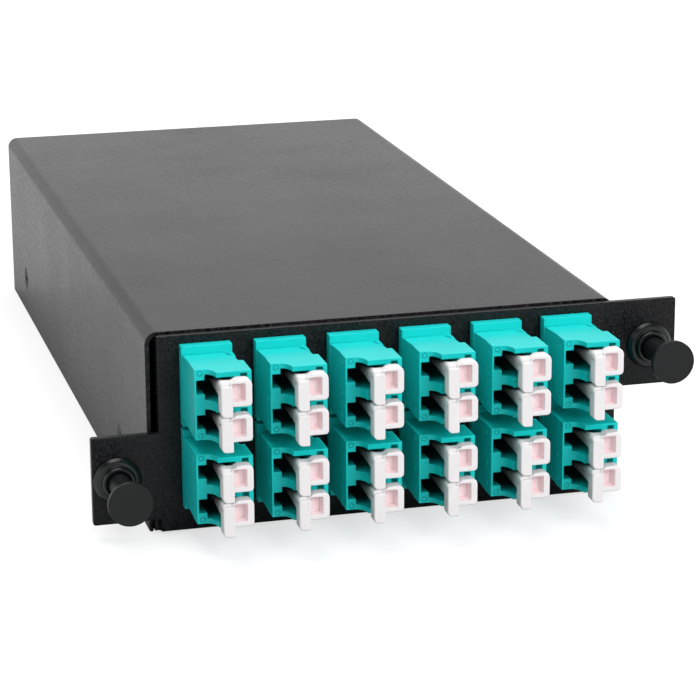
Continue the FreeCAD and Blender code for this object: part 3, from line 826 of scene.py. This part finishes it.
def rectangle(x0, x1, z0, z1, radii, inset=0.0):
    """Points round a rectangle with a radius at each corner, pulled in by an inset."""
    x0, x1, z0, z1 = x0 + inset, x1 - inset, z0 + inset, z1 - inset
    corners = ((x0, z0), (x1, z0), (x1, z1), (x0, z1))
    return ring_points([(x, z, max(r - inset, SHARP)) for (x, z), r in zip(corners, radii)], 5)


def slab(bm, shape, front, back, edge, hollow=None, steps=4):
    """Block with a rounded front edge, and a tapered recess where its mouth, floor and depth are given."""
    turns = [math.pi / 2 * i / steps for i in range(steps + 1)]
    rings = [(rectangle(*shape), back)]
    rings += [(rectangle(*shape, edge * (1 - math.cos(t))), front + edge * (1 - math.sin(t))) for t in turns]
    if hollow:
        mouth, floor, depth = hollow
        lip, foot = edge * 0.4, 0.15
        rings += [(rectangle(*mouth, -lip * (1 - math.sin(t))), front + lip * (1 - math.cos(t)))
                  for t in turns]
        rings += [(rectangle(*floor, foot * (1 - math.cos(t))), front + depth - foot * (1 - math.sin(t)))
                  for t in turns]
    loft(bm, [[(point.x, y, point.y) for point in ring] for ring, y in rings])


# Sections of the pin and neck: y, x, z, half width, half height, and how square the section is
NECK = [(-1.6, 0.0, 0.0, 0.42, 0.42, 0), (-1.9, 0.0, 0.0, 0.56, 0.56, 0), (-8.0, 0.0, 0.0, 0.56, 0.56, 0),
        (-10.5, -0.02, 0.14, 0.62, 0.72, 0.1), (-13.0, -0.05, 0.38, 0.7, 0.98, 0.2),
        (-15.5, -0.08, 0.62, 0.8, 1.26, 0.22), (-17.4, -0.1, 0.8, 0.9, 1.5, 0.22),
        (-18.7, -0.1, 0.9, 0.98, 1.66, 0.22)]


def neck_rings(steps=24):
    """Round in the port, growing to a tall rounded blade at the grip."""
    rings = []
    for y, x, z, wide, tall, square in NECK:
        ring = []
        for i in range(steps):
            angle = 2 * math.pi * i / steps
            c, s = math.cos(angle), math.sin(angle)
            ring.append((x + wide * math.copysign(abs(c) ** (1 - square), c), y,
                         z + tall * math.copysign(abs(s) ** (1 - square), s)))
        rings.append(ring)
    return rings


def cap_template(values):
    """One dust cap about its port's axis, with its place stored in millimetres."""
    bm = bmesh.new()
    edge, face, back = values.edge / MM, CAP["face"], CAP["back"]
    slab(bm, BAR, face - CAP["proud"], back, edge)
    slab(bm, SHOULDER, face + CAP["behind"], back, edge)
    frame_piece = bmesh.new()
    slab(frame_piece, FRAME, face, back, edge, (MOUTH, FLOOR, values.recess / MM))
    notch = bmesh.new()
    prism(notch, [Vector(point) for point in NOTCH], face - 1, back + 1)
    taken(carved(object_of("grip_frame", frame_piece), [object_of("grip_notch", notch)]), bm)
    loft(bm, neck_rings())
    bmesh.ops.scale(bm, vec=(MM, MM, MM), verts=bm.verts)
    obj = finished("cap_template", bm, smooth=50.0)
    store_places(obj)
    return obj


def cap_material(values):
    """Soft white plastic, with a painted pinkish shade in the grip's recess and painted shade, streaked,
    darkening the neck towards the port.
    """
    material = plastic_material("White dust cap", values.base, 0.42, tone=0.03, scuff=0.15,
                                Subsurface_Weight=0.2, Subsurface_Scale=0.8 * MM,
                                Subsurface_Radius=(1.0, 0.72, 0.78))
    tree = material.node_tree
    principled = tree.nodes["Principled BSDF"]
    x, y, z, place = mould_place(tree)
    color = principled.inputs["Base Color"].links[0].from_socket
    half, face, back = CAP["half"], CAP["face"], CAP["back"]
    # Painted shade: the grip's recess takes the pinkish recess colour
    inside = all_of(tree, 1.0, [(x, half + 0.02, half + 0.1), (x, 3.32, 3.2), (z, -0.9, -0.78),
                                (z, 2.44, 2.36), (y, face + 0.1, face + 0.5)])
    with_recess_shade = mixed(tree, inside, color, opaque(values.inner))
    along = add(tree, "ShaderNodeMapping", {"Vector": place, "Scale": (2.6, 0.12, 2.6)})
    streak = ranged(tree, noise(tree, along.outputs["Vector"], 1.0, 3.0, 0.7), 0.35, 0.65, 0.45, 1.3)
    # Painted shade: the neck darkens, streaked along its length, from just behind the grip towards the port
    depth = ranged(tree, y, back + 0.1, back + 3.4, 0.4, 1.0)
    depth = all_of(tree, depth, [(y, back - 0.9, back + 0.1)])
    shade = scaled(tree, tuple(values.neck), streak)
    link(tree, principled, Base_Color=mixed(tree, depth, with_recess_shade, shade))
    return material


class CASSETTE_OT_dust_caps(bpy.types.Operator):
    """Plug a white dust cap into every port"""
    bl_idname = "cassette.dust_caps"
    bl_label = "Dust caps"

    def execute(self, context):
        values = settings_of("cap")
        template = cap_template(values)
        soft = cap_material(values)
        tree = seat_tree()
        for name in CAPS:
            corner = low(name)
            place = Vector((corner.x + CAP["half"] * MM, PLATE_FACE, corner.z - CAP["tail"] * MM))
            cap = grown(name + "_moulding", tree, {"Template": template, "Material": soft, "Place": place})
            stand_in(cap, [name], name)
        bpy.data.objects.remove(template)
        return {"FINISHED"}


def axis_of(node):
    """The x and z of a turned node's axis, and its outer radius."""
    first, last = low(node), high(node)
    return ((first.x + last.x) / 2, (first.z + last.z) / 2), (last.x - first.x) / 2


def plunger_mesh(node, edge):
    """Thin flat head, flared neck and pointed tip."""
    axis, radius = axis_of(node)
    face, tip = low(node).y, high(node).y
    flare = face + HEAD_THICK
    profile = [(radius - 0.6 * MM, face + 0.06 * MM), (radius - 0.35 * MM, face), (radius, face),
               (radius, flare), (2.5 * MM, flare), (PLUNGER_NECK_R, flare + 1.1 * MM),
               (PLUNGER_NECK_R, tip - 1.4 * MM), (0.9 * MM, tip)]
    bm = bmesh.new()
    lathe(bm, rounded(profile, edge), axis, 72)
    return bm


def grommet_mesh(node):
    """Domed ring in front of the ear, a groove for its edge, and a barrel with four sprung legs."""
    axis, radius = axis_of(node)
    front, end = low(node).y, high(node).y
    back = high("front_plate").y
    bore = PLUNGER_NECK_R + 0.08 * MM
    # From the barrel's rear end, out over the ear's edge, and in along the domed ring to the bore
    profile = [(bore, end), (3.0 * MM, end), (3.2 * MM, end - 0.3 * MM), (3.2 * MM, back), (3.0 * MM, back),
               (3.0 * MM, PLATE_FACE), (radius, PLATE_FACE), (radius, PLATE_FACE - 0.5 * MM),
               (3.8 * MM, PLATE_FACE - 1.15 * MM), (3.55 * MM, PLATE_FACE - 1.3 * MM),
               (3.1 * MM, PLATE_FACE - 1.35 * MM), (2.95 * MM, PLATE_FACE - 2.2 * MM), (2.8 * MM, front),
               (bore + 0.25 * MM, front), (bore, front + 0.3 * MM)]
    bm = bmesh.new()
    lathe(bm, rounded(profile, 0.12 * MM, 3), axis, 72, hollow=True)
    ring = object_of("grommet_ring", bm)
    slots = []
    for wide, tall in ((5 * MM, 0.4 * MM), (0.4 * MM, 5 * MM)):
        slots.append(box_object("grommet_slot", (axis[0] - wide, end - LEG, axis[1] - tall),
                                (axis[0] + wide, end + MM, axis[1] + tall)))
    return taken(carved(ring, slots))


class CASSETTE_OT_plungers(bpy.types.Operator):
    """Fit the black push-pull plungers and their grommets in the ears"""
    bl_idname = "cassette.plungers"
    bl_label = "Plungers"

    def execute(self, context):
        values = settings_of("nylon")
        matt = plastic_material("Black nylon", values.base, 0.40, tone=0.2, scuff=0.8, depth=0.01 * MM,
                                Specular_IOR_Level=0.3)
        glossy = plastic_material("Polished black nylon", values.base, 0.24, tone=0.12, scuff=0.5,
                                  depth=0.006 * MM, Specular_IOR_Level=0.45)
        for side in SIDES:
            plunger, grommet = f"plunger_{side}", f"grommet_{side}"
            for node, bm, material, body in ((plunger, plunger_mesh(plunger, values.edge), matt, plunger),
                                             (grommet, grommet_mesh(grommet), glossy, ROOT)):
                piece = finished(node + "_moulding", bm, material, smooth=35.0)
                stand_in(piece, [node], body)
        return {"FINISHED"}


class CASSETTE_OT_rear_ports(bpy.types.Operator):
    """Dress the multi-fibre adapters on the rear wall, their caps and screws"""
    bl_idname = "cassette.rear_ports"
    bl_label = "Rear ports"

    def execute(self, context):
        black = plastic_material("Black moulding", (0.022, 0.022, 0.024), 0.38, tone=0.1, scuff=0.4)
        white = plastic_material("White port cap", (0.78, 0.75, 0.76), 0.45, tone=0.04,
                                 Subsurface_Weight=0.3, Subsurface_Scale=1.2 * MM)
        steel = plastic_material("Plain steel", (0.55, 0.55, 0.57), 0.3, tone=0.1, Metallic=1.0)
        for side in SIDES:
            adapter, cap = f"mpo_adapter_{side}", f"mpo_cap_{side}"
            dressed(adapter + "_moulding", [adapter], black, 0.15 * MM)
            dressed(cap + "_moulding", [cap], white, 0.2 * MM, body=cap)
        dressed("rear_screw_heads", ["mpo_adapter_screws"], steel, 0.08 * MM)
        return {"FINISHED"}


class CASSETTE_OT_cover_screws(bpy.types.Operator):
    """Drive the flat-head screws that hold the cover to the tray"""
    bl_idname = "cassette.cover_screws"
    bl_label = "Cover screws"

    def execute(self, context):
        black = plastic_material("Blackened screw", (0.012, 0.012, 0.013), 0.5, tone=0.3, scuff=0.8,
                                 depth=0.02 * MM, Specular_IOR_Level=0.4)
        bm = bmesh.new()
        for wall, inward, y, z in screw_places():
            head = object_of("screw", screw_cone(wall, inward, y, z, SCREW))
            arms = [box_object("screw_recess", (wall - 0.9 * MM, y - wide, z - tall),
                               (wall + 0.9 * MM, y + wide, z + tall))
                    for wide, tall in ((1.4 * MM, 0.35 * MM), (0.35 * MM, 1.4 * MM))]
            taken(carved(head, arms), bm)
        heads = finished("cover_screw_heads", bm, black, smooth=35.0)
        stand_in(heads, ["cover_screws"])
        return {"FINISHED"}


class CASSETTE_OT_inside(bpy.types.Operator):
    """Paint the sleeves, connectors and fibre that sit inside the box"""
    bl_idname = "cassette.inside"
    bl_label = "Inside"

    def execute(self, context):
        aqua = plastic_material("Aqua connector", (0.02, 0.42, 0.38), 0.4)
        jacket = plastic_material("Aqua jacket", (0.03, 0.45, 0.42), 0.5, tone=0.1)
        black = plastic_material("Black inner moulding", (0.025, 0.025, 0.027), 0.45)
        ceramic = plastic_material("Zirconia", (0.82, 0.82, 0.79), 0.18, tone=0.02, Coat_Weight=0.4)
        for node, material in (("alignment_sleeves", ceramic), ("inner_lc_connectors", aqua),
                               ("inner_mpo_connectors", aqua), ("fibre_ribbons", jacket),
                               ("fibre_legs", jacket), ("fanout_blocks", black), ("fibre_guides", black)):
            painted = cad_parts[node].data.materials
            painted.clear()
            painted.append(material)
        return {"FINISHED"}


# ---- stage ----

def add_lamp(name, place, aim, size, power):
    data = bpy.data.lights.new(name, "AREA")
    data.shape = "RECTANGLE"
    data.size, data.size_y = size
    data.energy = power
    lamp = bpy.data.objects.new(name, data)
    lamp.location = place
    lamp.rotation_euler = (Vector(aim) - Vector(place)).to_track_quat("-Z", "Y").to_euler()
    bpy.context.scene.collection.objects.link(lamp)
    return lamp


def seen_mask(tree):
    """1 where a ray comes straight from the camera, a mirror or glass."""
    path = tree.nodes.new("ShaderNodeLightPath")
    seen = maths(tree, "MAXIMUM", path.outputs["Is Camera Ray"], path.outputs["Is Glossy Ray"])
    return maths(tree, "MAXIMUM", seen, path.outputs["Is Transmission Ray"])


def make_floor():
    """Pale floor that keeps the shadow and looks white; where a mirror sees it near the object, its glow is
    dimmed, a painted contact shadow.
    """
    bm = bmesh.new()
    bmesh.ops.create_grid(bm, x_segments=24, y_segments=24, size=3.0)
    floor = object_of("floor", bm)
    material = bpy.data.materials.new("Pale floor")
    material.use_nodes = True
    tree = material.node_tree
    tree.nodes.clear()
    matt = add(tree, "ShaderNodeBsdfDiffuse", {"Color": (0.45, 0.45, 0.45, 1)})
    path = tree.nodes.new("ShaderNodeLightPath")
    # Painted shadow: to glossy rays the floor's glow dims where the object is near
    near = add(tree, "ShaderNodeAmbientOcclusion", {"Distance": 0.05}, samples=8)
    painted_contact_shade = ranged(tree, near.outputs["AO"], 1.0, 0.4, 0.45, 1.0)
    open_part = minus(tree, 1.0, times(tree, painted_contact_shade, path.outputs["Is Glossy Ray"]))
    level = times(tree, times(tree, seen_mask(tree), 0.66), open_part)
    glow = add(tree, "ShaderNodeEmission", {"Color": (1, 1, 1, 1), "Strength": level})
    both = add(tree, "ShaderNodeAddShader", {0: matt.outputs[0], 1: glow.outputs[0]})
    add(tree, "ShaderNodeOutputMaterial", {"Surface": both.outputs[0]})
    floor.data.materials.append(material)


def make_sky(strength, ceiling):
    """White all round at the camera's level and dimmer overhead; other rays get a soft even light."""
    world = bpy.data.worlds.new("Studio")
    bpy.context.scene.world = world
    world.use_nodes = True
    tree = world.node_tree
    tree.nodes.clear()
    seen = seen_mask(tree)
    direction = add(tree, "ShaderNodeTexCoord").outputs["Generated"]
    height = add(tree, "ShaderNodeSeparateXYZ", {"Vector": direction}).outputs["Z"]
    shown = ranged(tree, height, 0.35, 0.8, 1.0, ceiling)
    plain = times(tree, minus(tree, 1.0, seen), strength)
    level = plus(tree, times(tree, seen, shown), plain)
    back = add(tree, "ShaderNodeBackground", {"Color": (1, 1, 1, 1), "Strength": level})
    add(tree, "ShaderNodeOutputWorld", {"Surface": back.outputs[0]})


class CASSETTE_OT_stage(bpy.types.Operator):
    """Set the camera, floor, sky and lamps"""
    bl_idname = "cassette.stage"
    bl_label = "Stage"

    def execute(self, context):
        values = settings_of("stage")
        scene = context.scene
        az, el = values.azimuth, values.elevation
        back = Vector((math.sin(az) * math.cos(el), -math.cos(az) * math.cos(el), math.sin(el)))
        aim = Vector((values.aim_x, PLATE_FACE, values.aim_z))
        right = (-back).cross(Vector((0, 0, 1))).normalized()
        up = right.cross(-back)
        cosine, sine = math.cos(values.roll), math.sin(values.roll)
        axes = Matrix((cosine * right + sine * up, cosine * up - sine * right, back)).transposed().to_4x4()
        data = bpy.data.cameras.new("Camera")
        data.sensor_width = 36
        data.lens = values.lens
        data.clip_start, data.clip_end = 0.02, 20
        camera = bpy.data.objects.new("Camera", data)
        camera.matrix_world = Matrix.Translation(aim + back * values.distance) @ axes
        scene.collection.objects.link(camera)
        scene.camera = camera
        scene.view_settings.view_transform = "Standard"
        make_floor()
        make_sky(values.sky, values.ceiling)
        centre = (0, -0.02, 0.02)
        key = add_lamp("Key lamp", (0.35, -1.0, 0.55), centre, (0.7, 0.5), values.key)
        key.visible_glossy = False
        add_lamp("Top lamp", (-0.1, 0.15, 1.1), centre, (0.9, 0.9), values.top)
        return {"FINISHED"}


class CASSETTE_PT_panel(bpy.types.Panel):
    """Pieces of the cassette, one button each"""
    bl_idname = "CASSETTE_PT_panel"
    bl_label = "Fibre Cassette"
    bl_space_type = "VIEW_3D"
    bl_region_type = "UI"
    bl_category = "Fibre Cassette"

    def draw(self, context):
        for operator in OPERATORS:
            self.layout.operator(operator.bl_idname)
        for name, group in SETTINGS.items():
            box = self.layout.box()
            box.label(text=name.title())
            for title in group.__annotations__:
                box.prop(settings_of(name), title)


OPERATORS = (CASSETTE_OT_steelwork, CASSETTE_OT_housings, CASSETTE_OT_dust_caps, CASSETTE_OT_plungers,
             CASSETTE_OT_rear_ports, CASSETTE_OT_cover_screws, CASSETTE_OT_inside, CASSETTE_OT_stage)
SETTINGS = {"coat": CoatSettings, "adapter": AdapterSettings, "cap": CapSettings,
            "nylon": NylonSettings, "stage": StageSettings}


def register():
    for group in SETTINGS.values():
        bpy.utils.register_class(group)
    for kind in (*OPERATORS, CASSETTE_PT_panel):
        bpy.utils.register_class(kind)
    for name, group in SETTINGS.items():
        setattr(bpy.types.Scene, "cassette_" + name, bpy.props.PointerProperty(type=group))


def unregister():
    for name in SETTINGS:
        delattr(bpy.types.Scene, "cassette_" + name)
    for kind in reversed((*SETTINGS.values(), *OPERATORS, CASSETTE_PT_panel)):
        bpy.utils.unregister_class(kind)


def main():
    register()
    bpy.ops.cassette.steelwork()
    bpy.ops.cassette.housings()
    bpy.ops.cassette.dust_caps()
    bpy.ops.cassette.plungers()
    bpy.ops.cassette.rear_ports()
    bpy.ops.cassette.cover_screws()
    bpy.ops.cassette.inside()
    bpy.ops.cassette.stage()


if __name__ == "__main__":
    main()
